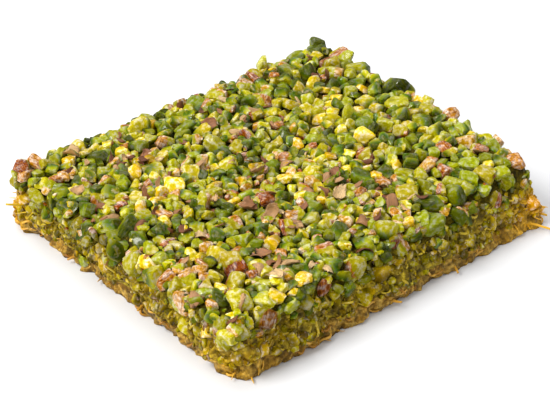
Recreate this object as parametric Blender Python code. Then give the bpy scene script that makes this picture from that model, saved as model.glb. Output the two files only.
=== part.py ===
"""A cut piece of kadayif baklava: a toasted base of shredded pastry, a filling of shredded
pastry bound with pistachio paste, and a thick topping of chopped pistachios.

The piece stands on z = 0, with the middle of its overall box at the origin. +X runs along
its longer sides. Lengths here are millimetres, and meshes are scaled to metres when made.
"""

import itertools
import math
import random

import bmesh
import bpy
import numpy as np
from mathutils import Euler, Matrix, Quaternion, Vector, noise

MM = 0.001

# Plan of the hand-cut piece at its base and at its top, round from the front left corner
BASE_CORNERS = ((-49.5, -44.0), (51.5, -44.8), (50.0, 43.0), (-49.9, 44.4))
TOP_CORNERS = ((-50.0, -43.0), (47.8, -38.6), (50.5, 41.0), (-50.5, 42.5))
CORNER_SHARPNESS = 40

# Levels of the layers, a hair apart; each is made taller by SPARE and then trimmed to its levels
HEIGHT = 17.6
BASE_TOP = 3.4
FILLING_TOP = 10.8
BED_TOP = 15.2
BED_EDGE_DROP = 1.9
BED_EDGE_SHARE = 0.92
BED_SHOULDER = BED_TOP - BED_EDGE_DROP
BED_BULGE = 2.2
BED_BULGE_X = 50
BED_BULGE_Y = 62
GAP = 0.3
SPARE = 0.5
FILLING_LOW = BASE_TOP + GAP
TOPPING_LOW = FILLING_TOP + GAP

# Rings that each layer's core is drawn through: height, and width as a share of the cut side
BASE_RINGS = ((-SPARE, 0.985), (0.7, 1), (2.0, 0.995), (BASE_TOP + SPARE, 0.995))
FILLING_RINGS = (
    (FILLING_LOW - SPARE, 0.995),
    (FILLING_LOW + 1.8, 1),
    (FILLING_LOW + 3.6, 0.995),
    (FILLING_LOW + 5.4, 1),
    (FILLING_TOP + SPARE, 0.995),
)
TOPPING_RINGS = ((TOPPING_LOW - SPARE, 0.995), (BED_SHOULDER, 0.99))
BED_RINGS = (0.96, 0.91, 0.65, 0.35)

# Overall box in plan, which the longest loose strands just touch
REACH_X = 54.5
REACH_Y = 48.5

# Crags of the cut sides
CRAG_SIZE = 7.0
CRAG_DEPTH = 2.0
CRUMB_SIZE = 2.6
CRUMB_DEPTH = 1.2
SIDE_COLUMNS = 84
TOPPING_COLUMNS = 64

# Chopped pistachios: how their sizes fall, and the ranges of their shapes as shares of the size
SMALLEST_CHUNK = 2.6
CHUNK_WIDTH = (0.27, 0.48)
CHUNK_THICKNESS = (0.22, 0.4)
FACE_CUT = (0.72, 1.0)
FACE_SLANT = 0.22
CORNER_CUTS = (1, 3)
CORNER_CUT = (0.6, 1.0)
ROUNDNESS = 1.3
CHUNK_TILT = 0.38
CHUNK_SHARPNESS = 26

# Chunks on the top, each where the fewest lie of a few places
TOPPING_SEED = 11
TOPPING_COUNT = 188
TOPPING_LARGEST = 6.6
TOPPING_FALL = 240
TOPPING_LIFT = (0.1, 0.5)
TOP_MARGIN = 0.003
SPOTS_TRIED = 10
GRID_STEP = 1.0

# Kernels on the top that stand out: place, size, degrees that they are tipped up
NOTABLE_CHUNKS = (
    (-48.5, 39.0, 5.0, 20),
    (-38.0, 36.0, 5.5, 0),
    (-37.0, 41.0, 4.5, 30),
    (-45.0, 31.5, 5.5, 0),
    (-31.5, 33.5, 7.0, 0),
    (-40.0, -15.5, 5.0, 0),
    (-47.0, -29.0, 5.0, 0),
    (-45.5, -33.0, 5.0, 0),
    (-43.5, -37.5, 5.5, 20),
    (-42.0, -21.5, 4.2, 0),
    (-41.0, -25.5, 5.0, 0),
    (-44.5, 2.5, 7.0, 0),
    (-27.0, -39.5, 5.5, 0),
    (-31.5, -31.0, 7.0, 0),
    (-34.5, 1.5, 5.0, 0),
    (-49.0, -11.0, 5.5, 0),
    (-49.0, -18.0, 6.0, 30),
    (-48.5, -24.0, 4.5, 0),
    (48.5, 8.0, 8.6, 72),
    (46.0, -36.5, 5.0, 30),
    (40.0, -38.0, 5.0, 0),
    (35.5, -22.0, 5.0, 0),
    (26.0, -25.0, 5.5, 0),
    (-2.5, -5.0, 5.0, 0),
    (-4.0, -13.0, 4.5, 0),
    (9.5, -4.5, 4.5, 0),
    (47.0, -0.5, 5.0, 0),
    (48.5, -11.5, 5.5, 45),
    (48.0, -24.0, 5.0, 30),
    (30.0, 6.0, 5.5, 0),
    (47.0, 38.5, 6.0, 20),
    (48.5, 31.0, 6.0, 30),
    (29.5, 40.5, 5.5, 50),
    (-10.0, 40.5, 5.0, 30),
    (35.0, -31.5, 6.0, 0),
    (4.0, -32.5, 5.0, 0),
)

# Chunks that tumble over the rim, and those that show in the filling
RIM_SEED = 12
RIM_COUNT = 42
RIM_LARGEST = 6.4
RIM_FALL = 60
RIM_HEIGHTS = (TOPPING_LOW + 1.4, BED_SHOULDER + 1.2)
RIM_SINK = 0.15
FILLING_SEED = 13
FILLING_COUNT = 28
FILLING_LARGEST = 5.4
FILLING_FALL = 45
FILLING_HEIGHTS = (FILLING_LOW + 1.0, FILLING_TOP - 1.4)
FILLING_SINK = 0.1

# Loose strands of pastry at the cut sides
STRAND_RADIUS = 0.42
STRAND_TAPER = 0.35
STRAND_ROOM = 0.5
STRAND_SIDES = 5
STRAND_RINGS = 4
STRAND_REACH = (1.2, 3.0)
STRAND_SEED = 14
BASE_STRANDS = 8
FILLING_STRANDS = 7
ROOT_DEPTH = 2.2

# Root, elbow and tip of the four strands whose tips touch the sides of the overall box
OUTERMOST_BASE = (
    ((46.0, -40.0, 1.7), (51.0, -42.0, 1.7), (REACH_X, -40.5, 1.2)),
    ((44.0, -40.0, 1.7), (46.5, -45.0, 1.7), (48.5, -REACH_Y, 1.0)),
    ((-30.0, 40.0, 1.7), (-31.5, 45.0, 1.7), (-34.0, REACH_Y, 1.1)),
)
OUTERMOST_FILLING = (((-46.0, 38.0, 7.1), (-50.5, 38.5, 7.1), (-REACH_X, 40.0, 8.6)),)

# Larger chunks have twelve corners and smaller ones eight
FINE_CHUNK = 6.6
GOLDEN = (1 + math.sqrt(5)) / 2

PASTRY_COLOUR = (0.36, 0.19, 0.035)
FILLING_COLOUR = (0.25, 0.21, 0.025)
PISTACHIO_COLOUR = (0.36, 0.40, 0.04)


def clear_scene():
    for obj in list(bpy.data.objects):
        bpy.data.objects.remove(obj)


def material(name, colour, roughness):
    """A plain non-metal surface."""
    made = bpy.data.materials.new(name)
    made.use_nodes = True
    shader = made.node_tree.nodes["Principled BSDF"]
    shader.inputs["Base Color"].default_value = (*colour, 1)
    shader.inputs["Roughness"].default_value = roughness
    shader.inputs["Metallic"].default_value = 0
    return made


def smooth_step(share):
    share = min(max(share, 0), 1)
    return share * share * (3 - 2 * share)


def walls(height):
    """Outward normal and distance from the middle of each of the four sides at a height."""
    share = height / HEIGHT
    corners = [Vector(low).lerp(Vector(high), share) for low, high in zip(BASE_CORNERS, TOP_CORNERS)]
    found = []
    for here, after in zip(corners, corners[1:] + corners[:1]):
        along = (after - here).normalized()
        normal = Vector((along.y, -along.x))
        found.append((normal, normal.dot(here)))
    return found


def outline(angle, height):
    """Plan point of the smooth side at an angle round the middle, and the outward normal."""
    direction = Vector((math.cos(angle), math.sin(angle)))
    sides = walls(height)
    shares = [max(normal.dot(direction), 0) / distance for normal, distance in sides]
    weights = [(share / max(shares)) ** CORNER_SHARPNESS for share in shares]
    reach = sum(weights) ** (-1 / CORNER_SHARPNESS) / max(shares)
    blend = sum((w * normal for w, (normal, _) in zip(weights, sides)), Vector((0, 0)))
    return direction * reach, blend.normalized()


def side_point(angle, height, out=0.0):
    """Point of the craggy cut side, moved outwards by out."""
    plan, normal = outline(angle, height)
    spot = Vector((plan.x, plan.y, height))
    crag = noise.noise(spot / CRAG_SIZE) * CRAG_DEPTH
    crumb = noise.noise(spot / CRUMB_SIZE) * CRUMB_DEPTH
    return spot + normal.to_3d() * (crag + crumb + out)


def even_angles(count):
    """Angles that step evenly along the outline, and not round the middle."""
    fine = np.linspace(0, 2 * math.pi, 1441)
    points = np.array([outline(angle, HEIGHT / 2)[0] for angle in fine])
    steps = np.linalg.norm(np.diff(points, axis=0), axis=1)
    along = np.concatenate([[0], np.cumsum(steps)])
    return np.interp(np.arange(count) * along[-1] / count, along, fine)


def bed_height(x, y):
    """Top of the bed under the chopped pistachios: fuller along +X, and lower near the sides."""
    plan, _ = outline(math.atan2(y, x), BED_TOP)
    share = math.hypot(x, y) / plan.length
    drop = BED_EDGE_DROP * smooth_step((share - BED_EDGE_SHARE) / (1 - BED_EDGE_SHARE))
    bulge = BED_BULGE * smooth_step(x / BED_BULGE_X) * max(1 - (y / BED_BULGE_Y) ** 2, 0)
    return BED_TOP + bulge - drop


class Chunk:
    """A bit of a chopped kernel: a block between flat knife cuts, rounded at its corners."""

    def __init__(self, rng, size):
        self.size = size
        wide, flat = size * rng.uniform(*CHUNK_WIDTH), size * rng.uniform(*CHUNK_THICKNESS)
        self.radii = np.array((size / 2, wide, flat))
        self.cuts = []
        for axis in np.concatenate([np.eye(3), -np.eye(3)]):
            self.cut(axis + [rng.gauss(0, FACE_SLANT) for _ in range(3)], rng.uniform(*FACE_CUT))
        for _ in range(rng.randint(*CORNER_CUTS)):
            self.cut(np.array([rng.gauss(0, 1) for _ in range(3)]), rng.uniform(*CORNER_CUT))
        tilt = (rng.gauss(0, CHUNK_TILT), rng.gauss(0, CHUNK_TILT), rng.uniform(0, math.tau))
        self.turn = np.array(Euler(tilt).to_matrix())
        self.place = np.zeros(3)
        self.spread = (size / 2 + wide) / 2
        self.rise = flat

    def cut(self, normal, share):
        """Trims the chunk flat, at a share of how far its rounded body reaches that way."""
        normal = normal / np.linalg.norm(normal)
        self.cuts.append((normal, share * np.linalg.norm(normal * self.radii)))

    def tip(self, degrees):
        """Tips the chunk up, so that one end of its long way rises."""
        pitch = math.radians(degrees)
        self.turn = self.turn @ np.array(Euler((0, pitch, 0)).to_matrix())
        self.rise = self.rise * math.cos(pitch) + self.size / 2 * math.sin(pitch)

    def face(self, normal):
        """Turns the chunk so that its flat side faces along a normal."""
        self.turn = np.array(normal.to_track_quat("Z", "Y").to_matrix()) @ self.turn

    def points(self, directions):
        """Surface points, one along each unit direction."""
        directions = directions * self.radii
        directions /= np.linalg.norm(directions, axis=1)[:, None]
        body = np.linalg.norm(directions / self.radii, axis=1) / ROUNDNESS
        terms = [body**CHUNK_SHARPNESS]
        for normal, depth in self.cuts:
            terms.append(np.clip(directions @ normal / depth, 0, None) ** CHUNK_SHARPNESS)
        reach = np.sum(terms, axis=0) ** (-1 / CHUNK_SHARPNESS)
        return (directions * reach[:, None]) @ self.turn.T + self.place


class Ground:
    """Height of what already lies on the top, on a square grid."""

    def __init__(self):
        self.xs = np.arange(-REACH_X, REACH_X + GRID_STEP, GRID_STEP)
        self.ys = np.arange(-REACH_Y, REACH_Y + GRID_STEP, GRID_STEP)
        self.heights = np.array([[bed_height(x, y) for y in self.ys] for x in self.xs])

    def under(self, x, y, radius):
        """Slices of the grid below a round footprint, and each cell's share of its radius."""
        rows = slice(*np.searchsorted(self.xs, (x - radius, x + radius + GRID_STEP)))
        columns = slice(*np.searchsorted(self.ys, (y - radius, y + radius + GRID_STEP)))
        away = np.hypot(self.xs[rows, None] - x, self.ys[None, columns] - y) / radius
        return rows, columns, away

    def level(self, x, y, radius):
        rows, columns, away = self.under(x, y, radius)
        return self.heights[rows, columns][away <= 1].mean()

    def lay(self, x, y, radius, middle, rise):
        rows, columns, away = self.under(x, y, radius)
        dome = middle + rise * np.sqrt(np.clip(1 - away**2, 0, 1))
        patch = self.heights[rows, columns]
        self.heights[rows, columns] = np.where(away < 1, np.maximum(patch, dome), patch)


def chunk_size(index, largest, fall):
    """Size of a chunk by its place in the order, largest first."""
    return SMALLEST_CHUNK + (largest - SMALLEST_CHUNK) * math.exp(-index / fall)


def top_spot(rng):
    """A random place on the top, inside its corners."""
    low, right, far, left = (Vector(corner) for corner in TOP_CORNERS)
    u, v = (rng.uniform(TOP_MARGIN, 1 - TOP_MARGIN) for _ in range(2))
    return low.lerp(right, u).lerp(left.lerp(far, u), v)


def laid_chunk(rng, size, spots, ground, degrees=0):
    """A chunk laid on what is already there, where the fewest lie of a few places."""
    chunk = Chunk(rng, size)
    chunk.tip(degrees)
    spot = min(spots, key=lambda at: ground.level(*at, chunk.spread) - bed_height(*at))
    middle = ground.level(*spot, chunk.spread) + chunk.rise * rng.uniform(*TOPPING_LIFT)
    chunk.place = np.array((*spot, middle))
    ground.lay(*spot, chunk.spread, middle, chunk.rise)
    return chunk


def topping_chunks(count):
    """Chunks on the top, the notable ones first, and then others where few lie."""
    rng = random.Random(TOPPING_SEED)
    ground = Ground()
    chunks = [
        laid_chunk(rng, size, [(x, y)], ground, degrees) for x, y, size, degrees in NOTABLE_CHUNKS
    ]
    for index in range(count):
        size = chunk_size(index, TOPPING_LARGEST, TOPPING_FALL)
        spots = [tuple(top_spot(rng)) for _ in range(SPOTS_TRIED)]
        chunks.append(laid_chunk(rng, size, spots, ground))
    return chunks


def side_chunks(seed, count, largest, fall, heights, sink):
    """Chunks spread evenly round the cut sides between two heights, their flats facing out."""
    rng = random.Random(seed)
    angles = even_angles(count)
    order = rng.sample(range(count), count)
    chunks = []
    for index, turn in enumerate(order):
        chunk = Chunk(rng, chunk_size(index, largest, fall))
        angle = angles[turn] + rng.uniform(-0.5, 0.5) * math.tau / count
        height = rng.uniform(*heights)
        _, normal = outline(angle, height)
        chunk.face(normal.to_3d())
        chunk.place = np.array(side_point(angle, height, -sink * chunk.rise))
        chunks.append(chunk)
    return chunks


def strand_path(rng, angle, height, reach):
    """Root, elbow and tip of a loose strand, which leans along the side as it leaves it."""
    _, normal = outline(angle, height)
    out = normal.to_3d()
    along = Vector((-out.y, out.x, 0)) * rng.choice((-1, 1))
    root = side_point(angle, height, -ROOT_DEPTH)
    elbow = root + out * (ROOT_DEPTH + 0.3 * reach) + along * rng.uniform(0.2, 0.6) * reach
    tip = elbow + out * 0.7 * reach + along * rng.uniform(0.2, 1.0) * reach
    tip.z += rng.uniform(-0.8, 0.8)
    return root, elbow, tip


def kept_inside(path, low, high):
    """The path with its elbow and tip moved inside the overall box and the layer's levels."""
    limits = ((-REACH_X, REACH_X), (-REACH_Y, REACH_Y), (low, high))
    kept = [path[0]]
    for point in path[1:]:
        inside = [
            min(max(value, least + STRAND_ROOM), most - STRAND_ROOM)
            for value, (least, most) in zip(point, limits)
        ]
        kept.append(Vector(inside))
    return kept


def strands(seed, count, low, high):
    """Paths of loose strands spread round the sides, closer together near the corners."""
    rng = random.Random(seed)
    paths = []
    for index in range(count):
        angle = math.tau * (index + rng.random()) / count
        height = rng.uniform(low + 3 * STRAND_RADIUS, high - 3 * STRAND_RADIUS)
        path = strand_path(rng, angle, height, rng.uniform(*STRAND_REACH))
        paths.append(kept_inside(path, low, high))
    return paths


def outermost(paths):
    return [[Vector(point) for point in path] for path in paths]


def curve_point(path, share):
    """Point on the bend from root to tip."""
    root, elbow, tip = path
    return root.lerp(elbow, share).lerp(elbow.lerp(tip, share), share)


def mesh_object(name, bm, surface=None):
    bmesh.ops.recalc_face_normals(bm, faces=bm.faces)
    bm.transform(Matrix.Scale(MM, 4))
    mesh = bpy.data.meshes.new(name)
    bm.to_mesh(mesh)
    bm.free()
    obj = bpy.data.objects.new(name, mesh)
    bpy.context.scene.collection.objects.link(obj)
    if surface:
        mesh.materials.append(surface)
    return obj


def side_rings(levels, columns):
    """Rings of points of the cut side, one for each height and width."""
    rings = []
    for height, width in levels:
        scale = Vector((width, width, 1))
        rings.append([side_point(angle, height) * scale for angle in even_angles(columns)])
    return rings


def bed_rings(shares, columns):
    """Rings of points on the bed, each a share of the way out to the cut side."""
    rings = []
    for share in shares:
        plans = [side_point(angle, BED_SHOULDER).xy * share for angle in even_angles(columns)]
        rings.append([Vector((*plan, bed_height(*plan))) for plan in plans])
    return rings


def layer(name, rings, surface):
    """A closed slab through the piece, from its lowest ring of points to its highest."""
    bm = bmesh.new()
    rings = [[bm.verts.new(point) for point in ring] for ring in rings]
    columns = len(rings[0])
    for lower, upper in zip(rings, rings[1:]):
        for i in range(columns):
            j = (i + 1) % columns
            bm.faces.new((lower[i], lower[j], upper[j], upper[i]))
    bm.faces.new(reversed(rings[0]))
    bm.faces.new(rings[-1])
    return mesh_object(name, bm, surface)


def icosahedron_directions():
    corners = []
    for a in (-1, 1):
        for b in (-GOLDEN, GOLDEN):
            corners += [(0, a, b), (a, b, 0), (b, 0, a)]
    return np.array(corners) / math.hypot(1, GOLDEN)


def cube_directions():
    return np.array(list(itertools.product((-1, 1), repeat=3))) / math.sqrt(3)


def chunk_object(chunk):
    """A chunk as the hull of the few corners that its size deserves."""
    bm = bmesh.new()
    directions = icosahedron_directions() if chunk.size > FINE_CHUNK else cube_directions()
    corners = [bm.verts.new(point) for point in chunk.points(directions)]
    hull = bmesh.ops.convex_hull(bm, input=corners)
    bmesh.ops.delete(bm, geom=hull["geom_interior"], context="VERTS")
    return mesh_object("chunk", bm)


def strand_object(path):
    """A tube that tapers a little towards its tip, its rings turned from one to the next."""
    bm = bmesh.new()
    rings = []
    turn, before = Quaternion(), Vector((0, 0, 1))
    for step in range(STRAND_RINGS):
        share = step / (STRAND_RINGS - 1)
        middle = curve_point(path, share)
        ahead = curve_point(path, share + 0.05) - curve_point(path, share - 0.05)
        turn = before.rotation_difference(ahead) @ turn
        before = ahead
        radius = STRAND_RADIUS * (1 - STRAND_TAPER * share)
        ring = []
        for side in range(STRAND_SIDES):
            angle = math.tau * side / STRAND_SIDES
            corner = Vector((math.cos(angle), math.sin(angle), 0)) * radius
            ring.append(bm.verts.new(middle + turn @ corner))
        rings.append(ring)
    for near, far in zip(rings, rings[1:]):
        for i in range(STRAND_SIDES):
            j = (i + 1) % STRAND_SIDES
            bm.faces.new((near[i], near[j], far[j], far[i]))
    bm.faces.new(rings[0])
    bm.faces.new(rings[-1])
    bmesh.ops.triangulate(bm, faces=bm.faces)
    return mesh_object("strand", bm)


def slab_cutter(low, high):
    """A block wider than the piece, between two levels."""
    bm = bmesh.new()
    bmesh.ops.create_cube(bm, size=1)
    size = Vector((3 * REACH_X, 3 * REACH_Y, high - low))
    bmesh.ops.scale(bm, vec=size, verts=bm.verts)
    bmesh.ops.translate(bm, vec=(0, 0, (low + high) / 2), verts=bm.verts)
    return mesh_object("cutter", bm)


def apply_modifiers(obj):
    graph = bpy.context.evaluated_depsgraph_get()
    made = bpy.data.meshes.new_from_object(obj.evaluated_get(graph))
    obj.modifiers.clear()
    obj.data = made


def keep_largest_body(obj):
    """Drops scraps that touch nothing and fills hollows that fusing has sealed."""
    bm = bmesh.new()
    bm.from_mesh(obj.data)
    bodies, seen = [], set()
    for start in bm.verts:
        if start in seen:
            continue
        body, waiting = set(), [start]
        while waiting:
            vertex = waiting.pop()
            if vertex not in body:
                body.add(vertex)
                waiting += [edge.other_vert(vertex) for edge in vertex.link_edges]
        seen |= body
        bodies.append(body)
    largest = max(bodies, key=len)
    bmesh.ops.delete(bm, geom=[v for v in bm.verts if v not in largest], context="VERTS")
    bm.to_mesh(obj.data)
    bm.free()


def fuse(core, bits, low, high):
    """Joins the bits to the core as one solid, trimmed to the layer's levels."""
    group = bpy.data.collections.new(core.name + "_bits")
    for bit in bits:
        group.objects.link(bit)
    union = core.modifiers.new("fuse", "BOOLEAN")
    union.operation = "UNION"
    union.operand_type = "COLLECTION"
    union.collection = group
    union.solver = "MANIFOLD"
    apply_modifiers(core)
    for bit in bits:
        bpy.data.objects.remove(bit)
    bpy.data.collections.remove(group)

    cutter = slab_cutter(low, high)
    trim = core.modifiers.new("trim", "BOOLEAN")
    trim.operation = "INTERSECT"
    trim.object = cutter
    trim.solver = "MANIFOLD"
    apply_modifiers(core)
    bpy.data.objects.remove(cutter)
    keep_largest_body(core)


def build_base(surface):
    core = layer("kadayif_base", side_rings(BASE_RINGS, SIDE_COLUMNS), surface)
    paths = strands(STRAND_SEED, BASE_STRANDS, 0, BASE_TOP) + outermost(OUTERMOST_BASE)
    fuse(core, [strand_object(path) for path in paths], 0, BASE_TOP)


def build_filling(surface):
    core = layer("pistachio_filling", side_rings(FILLING_RINGS, SIDE_COLUMNS), surface)
    paths = strands(STRAND_SEED + 1, FILLING_STRANDS, FILLING_LOW, FILLING_TOP)
    paths += outermost(OUTERMOST_FILLING)
    chunks = side_chunks(
        FILLING_SEED, FILLING_COUNT, FILLING_LARGEST, FILLING_FALL, FILLING_HEIGHTS, FILLING_SINK
    )
    bits = [strand_object(path) for path in paths] + [chunk_object(chunk) for chunk in chunks]
    fuse(core, bits, FILLING_LOW, FILLING_TOP)


def build_topping(surface):
    rings = side_rings(TOPPING_RINGS, TOPPING_COLUMNS) + bed_rings(BED_RINGS, TOPPING_COLUMNS)
    core = layer("chopped_pistachios", rings, surface)
    chunks = topping_chunks(TOPPING_COUNT)
    chunks += side_chunks(RIM_SEED, RIM_COUNT, RIM_LARGEST, RIM_FALL, RIM_HEIGHTS, RIM_SINK)
    fuse(core, [chunk_object(chunk) for chunk in chunks], TOPPING_LOW, HEIGHT + TOPPING_LARGEST)


def main():
    clear_scene()
    build_base(material("shredded_pastry", PASTRY_COLOUR, 0.5))
    build_filling(material("pistachio_filling", FILLING_COLOUR, 0.55))
    build_topping(material("pistachio", PISTACHIO_COLOUR, 0.45))


main()
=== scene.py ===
"""Looks of the kadayif baklava piece: the chopped pistachios on top, the olive-green filling of
pastry shreds and ground nut, and the toasted base.

The layout repeats that of the solids, from the same sizes and the same seeded draws, and then
goes on to the smaller kernels, crumbs and strands. Lengths are millimetres and angles in tables
are degrees. Meshes are scaled to metres when made.
"""

import math
import random

import bmesh
import bpy
import numpy as np
from mathutils import Euler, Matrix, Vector, noise

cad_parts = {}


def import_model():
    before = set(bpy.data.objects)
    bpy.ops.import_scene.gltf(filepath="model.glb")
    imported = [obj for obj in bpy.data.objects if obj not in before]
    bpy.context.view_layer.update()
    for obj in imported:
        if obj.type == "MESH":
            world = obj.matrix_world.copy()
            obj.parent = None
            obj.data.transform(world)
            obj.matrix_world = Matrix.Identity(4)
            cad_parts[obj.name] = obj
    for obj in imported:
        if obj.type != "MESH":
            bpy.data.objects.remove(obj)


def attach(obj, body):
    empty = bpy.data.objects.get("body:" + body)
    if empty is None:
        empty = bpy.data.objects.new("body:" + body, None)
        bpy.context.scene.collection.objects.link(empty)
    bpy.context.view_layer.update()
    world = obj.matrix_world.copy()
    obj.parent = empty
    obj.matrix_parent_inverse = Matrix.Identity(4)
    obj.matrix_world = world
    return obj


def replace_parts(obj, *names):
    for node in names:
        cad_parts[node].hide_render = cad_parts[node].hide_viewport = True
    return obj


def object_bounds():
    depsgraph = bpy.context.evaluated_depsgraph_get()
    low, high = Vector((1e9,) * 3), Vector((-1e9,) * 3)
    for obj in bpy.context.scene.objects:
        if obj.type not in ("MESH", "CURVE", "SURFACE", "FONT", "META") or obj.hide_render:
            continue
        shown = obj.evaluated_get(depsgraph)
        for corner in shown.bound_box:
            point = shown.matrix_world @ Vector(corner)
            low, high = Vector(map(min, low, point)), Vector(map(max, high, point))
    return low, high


MM = 0.001

# Plan of the hand-cut piece at its base and at its top, round from the front left corner
BASE_CORNERS = ((-49.5, -44.0), (51.5, -44.8), (50.0, 43.0), (-49.9, 44.4))
TOP_CORNERS = ((-50.0, -43.0), (47.8, -38.6), (50.5, 41.0), (-50.5, 42.5))
CORNER_SHARPNESS = 40
REACH_X = 54.5
REACH_Y = 48.5
WAY_POINTS = 1441

# Levels of the layers
HEIGHT = 17.6
BASE_TOP = 3.4
FILLING_TOP = 10.8
BED_TOP = 15.2
BED_EDGE_DROP = 1.9
BED_EDGE_SHARE = 0.92
BED_SHOULDER = BED_TOP - BED_EDGE_DROP
BED_BULGE = 2.2
BED_BULGE_X = 50
BED_BULGE_Y = 62
GAP = 0.3
FILLING_LOW = BASE_TOP + GAP
TOPPING_LOW = FILLING_TOP + GAP

# Crags of the cut sides: those of the solids, and a finer crumb that only the looks have
CRAG_SIZE = 7.0
CRAG_DEPTH = 2.0
CRUMB_SIZE = 2.6
CRUMB_DEPTH = 1.2
FINE_SIZE = 1.1
FINE_DEPTH = 0.55
CELL_MIDDLE = 0.35
CELL_DEPTH = 0.9
# How hollow the side is by a crumb's depth; the materials darken hollows as painted shade
HOLLOW_START = 0.25
HOLLOW_SLOPE = 1.2

# Rings of the layers' meshes, drawn in at their edges and towards the middle of their caps
SIDE_COLUMNS = 640
EDGE_DRAW = 0.005
EDGE_ROUND = 0.8
CAP_SHARES = (0.02, 0.5)
BASE_RINGS = 12
FILLING_RINGS = 22
BED_COLUMNS = SIDE_COLUMNS // 2
BED_SIDE_RINGS = 8
BED_RINGS = 34
BED_SHARES = (0.985, 0.0)
BED_RELIEF = 0.9
# How hollow the bed counts as: so high that nearly all of it is darkened as painted shade between the
# kernels
BED_HOLLOW = 0.9

# Chopped pistachios: how their sizes fall, and the ranges of their shapes as shares of the size
SMALLEST_CHUNK = 2.6
CHUNK_WIDTH = (0.27, 0.48)
CHUNK_THICKNESS = (0.22, 0.4)
FACE_CUT = (0.72, 1.0)
FACE_SLANT = 0.22
CORNER_CUTS = (1, 3)
CORNER_CUT = (0.6, 1.0)
ROUNDNESS = 1.3
CHUNK_TILT = 0.38
CHUNK_SHARPNESS = 26

# What only the looks have on a chunk: lumps, dents and a finer or coarser mesh by its size
CHUNK_RELIEF = 0.07
BROAD_LUMPS = 1.7
FINE_LUMPS = 4.6
FINE_LUMP_SHARE = 0.7
NOISE_REACH = 50
DENT_DEPTH = (0.0, 0.28)
DENT_WIDTH = (0.3, 0.7)
DENTS = 2
MESH_STEPS = ((5.6, 9), (3.9, 7), (2.6, 5), (0.0, 3))
SHARP_EDGE = math.radians(27)
# Depth under the heap's surface over which a kernel's painted shade deepens to its darkest
BURIED_DEPTH = 2.6
TOP_ROOM = 0.2

# Chunks on the top, each laid where the fewest lie. The solids have the first SOLID_COUNT of them
TOPPING_SEED = 11
TOPPING_COUNT = 780
TOPPING_LARGEST = 6.6
TOPPING_FALL = 240
SOLID_COUNT = 188
SMALLEST_ON_TOP = 3.3
SLOWER_FALL = 300
TOPPING_LIFT = (0.1, 0.5)
TOP_MARGIN = 0.003
SPOTS_TRIED = 10
GRID_STEP = 1.0
GRID_MARGIN = 1.001

# Kernels on the top that stand out: place, size, degrees that they are tipped up, and kind
NOTABLE_CHUNKS = (
    (-48.5, 39.0, 5.0, 20, "mauve"),
    (-38.0, 36.0, 5.5, 0, "yellow"),
    (-37.0, 41.0, 4.5, 30, "green"),
    (-45.0, 31.5, 5.5, 0, "mauve"),
    (-31.5, 33.5, 7.0, 0, "dark"),
    (-40.0, -15.5, 5.0, 0, "yellow"),
    (-47.0, -29.0, 5.0, 0, "green"),
    (-45.5, -33.0, 5.0, 0, "dark"),
    (-43.5, -37.5, 5.5, 20, "lime"),
    (-42.0, -21.5, 4.2, 0, "mauve"),
    (-41.0, -25.5, 5.0, 0, "lime"),
    (-44.5, 2.5, 7.0, 0, "dark"),
    (-27.0, -39.5, 5.5, 0, "yellow"),
    (-31.5, -31.0, 7.0, 0, "lime"),
    (-34.5, 1.5, 5.0, 0, "mauve"),
    (-49.0, -11.0, 5.5, 0, "yellow"),
    (-49.0, -18.0, 6.0, 30, "mauve"),
    (-48.5, -24.0, 4.5, 0, "lime"),
    (48.5, 8.0, 8.6, 72, "dark"),
    (46.0, -36.5, 5.0, 30, "mauve"),
    (40.0, -38.0, 5.0, 0, "green"),
    (35.5, -22.0, 5.0, 0, "mauve"),
    (26.0, -25.0, 5.5, 0, "mauve"),
    (-2.5, -5.0, 5.0, 0, "yellow"),
    (-4.0, -13.0, 4.5, 0, "yellow"),
    (9.5, -4.5, 4.5, 0, "yellow"),
    (47.0, -0.5, 5.0, 0, "yellow"),
    (48.5, -11.5, 5.5, 45, "mauve"),
    (48.0, -24.0, 5.0, 30, "lime"),
    (30.0, 6.0, 5.5, 0, "green"),
    (47.0, 38.5, 6.0, 20, "dark"),
    (48.5, 31.0, 6.0, 30, "mauve"),
    (29.5, 40.5, 5.5, 50, "lime"),
    (-10.0, 40.5, 5.0, 30, "green"),
    (35.0, -31.5, 6.0, 0, "green"),
    (4.0, -32.5, 5.0, 0, "lime"),
)

# Kernels laid last, which only the looks have: they stand up at the edges of the top
EDGE_CHUNKS = (
    (29.7, 41.0, 4.8, 70, "lime"),
    (49.0, 40.0, 5.0, 60, "dark"),
    (48.5, 28.0, 4.6, 45, "green"),
    (48.5, -3.0, 4.6, 45, "lime"),
    (48.5, -17.5, 4.6, 45, "green"),
    (48.5, -27.5, 4.6, 60, "mauve"),
    (-48.6, 40.2, 5.8, 40, "mauve"),
)

# Kinds that turn their skin to the front where they are placed, and the way to the front
SKINNED_KINDS = ("mauve", "dark")
FRONT_WAY = (-0.5, -0.6, 0.62)

# Kernels at the cut sides that stand out: angle, height, lean, size and kind
NOTABLE_SIDE_CHUNKS = (
    (-156.0, 13.0, 85, 6.4, "dark"),
    (-153.5, 12.4, 95, 6.2, "mauve"),
    (163.0, 2.4, 10, 3.4, "green"),
    (-146.0, 9.0, 60, 4.4, "yellow"),
    (-140.0, 12.5, 20, 5.0, "lime"),
    (-128.0, 13.0, 30, 4.6, "green"),
)
SIDE_CHUNK_SEED = 15

# Chunks over the rim and in the filling: count, largest, fall, then seed, heights, depth and coats
RIM_SINK = 0.15
RIM_COATS = (0.1, 0.75)
RIM_SIZES = (42, 6.4, 60)
RIM_CHUNKS = (12, (TOPPING_LOW + 1.4, BED_SHOULDER + 1.2), RIM_SINK, RIM_COATS)
FILLING_SIZES = (28, 5.4, 45)
FILLING_CHUNKS = (13, (FILLING_LOW + 1.0, FILLING_TOP - 1.4), 0.1, (0.0, 0.0))

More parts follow.
